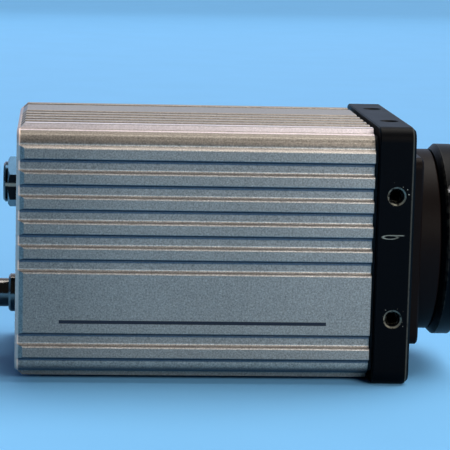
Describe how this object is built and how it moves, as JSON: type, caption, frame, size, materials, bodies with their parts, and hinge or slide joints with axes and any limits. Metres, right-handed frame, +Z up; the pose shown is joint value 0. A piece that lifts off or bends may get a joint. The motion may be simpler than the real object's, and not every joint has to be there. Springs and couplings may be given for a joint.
{
  "type": "machine vision camera",
  "caption": "Industrial camera with a ribbed square housing, a front plate with side mounting threads, a screw-in lens seat in a turning focus ring, and sockets at the back.",
  "frame": {"origin": "centre of the lens seat, on the axis at the front face of the focus ring", "axes": "+X along the optical axis out of the lens thread, +Z up, and the camera's right side faces -Y"},
  "size_m": [0.1199, 0.0628, 0.0628],
  "materials": {
    "housing_aluminium": "bead blasted and clear anodised extrusion, fine sparkle",
    "plate_anodised": "black anodised, milled, worn to bare metal round the holes",
    "base_anodised": "black anodised, turned and milled",
    "ring_anodised": "black anodised, turned",
    "panel_anodised": "black anodised sheet",
    "gasket": "flat rubber",
    "black_screws": "blackened steel",
    "set_screws": "bright steel",
    "filter_glass": "coated flat glass",
    "retainer": "black anodised",
    "sensor_die": "polished silicon",
    "sensor_package": "dark ceramic",
    "cover_glass": "clear flat glass",
    "circuit_board": "green laminate",
    "shims": "plain brass",
    "spacers": "nickel plated",
    "board_screws": "zinc plated steel",
    "link_plastic": "moulded plastic",
    "chips": "moulded epoxy",
    "coils": "shielded ferrite",
    "capacitors": "bare can",
    "nickel": "nickel plated, turned",
    "contacts": "gold plated",
    "insulator": "moulded plastic",
    "socket_insert": "moulded plastic",
    "data_shell": "moulded plastic"
  },
  "bodies": {
    "camera": {"lens_base": "base_anodised", "lens_base_screws": "black_screws", "filter_glass": "filter_glass", "filter_retainer": "retainer", "front_plate": "plate_anodised", "front_plate_screws": "black_screws", "front_gasket": "gasket", "housing": "housing_aluminium", "back_panel": "panel_anodised", "back_panel_screws": "black_screws", "sensor_die": "sensor_die", "sensor_package": "sensor_package", "sensor_cover_glass": "cover_glass", "sensor_board": "circuit_board", "sensor_board_shims": "shims", "sensor_board_screws": "board_screws", "analog_board": "circuit_board", "analog_spacers": "spacers", "processor_board": "circuit_board", "processor_spacers": "spacers", "power_board": "circuit_board", "power_spacers": "spacers", "interface_board": "circuit_board", "interface_spacers": "spacers", "stack_screws": "board_screws", "sensor_link_plug": "link_plastic", "sensor_link_socket": "link_plastic", "analog_link_plug": "link_plastic", "analog_link_socket": "link_plastic", "processor_link_plug": "link_plastic", "processor_link_socket": "link_plastic", "power_link_plug": "link_plastic", "power_link_socket": "link_plastic", "processor_chip": "chips", "memory_chips": "chips", "signal_converters": "chips", "power_coils": "coils", "power_capacitors": "capacitors", "power_socket_shell": "nickel", "power_socket_insert": "socket_insert", "power_socket_pins": "contacts", "power_socket_nut": "nickel", "sync_jack_body": "nickel", "sync_jack_insulator": "insulator", "sync_jack_contact": "contacts", "sync_jack_nut": "nickel", "data_socket_shell": "data_shell", "data_socket_tongue": "data_shell", "data_jack_posts": "nickel"},
    "ring": {"focus_ring": "ring_anodised", "ring_set_screws": "set_screws"}
  },
  "joints": [
    {"name": "ring_turn", "type": "hinge", "parent": "camera", "child": "ring", "pos_m": [0, 0, 0], "axis": [1, 0, 0], "range_deg": [-90, 90]}
  ]
}
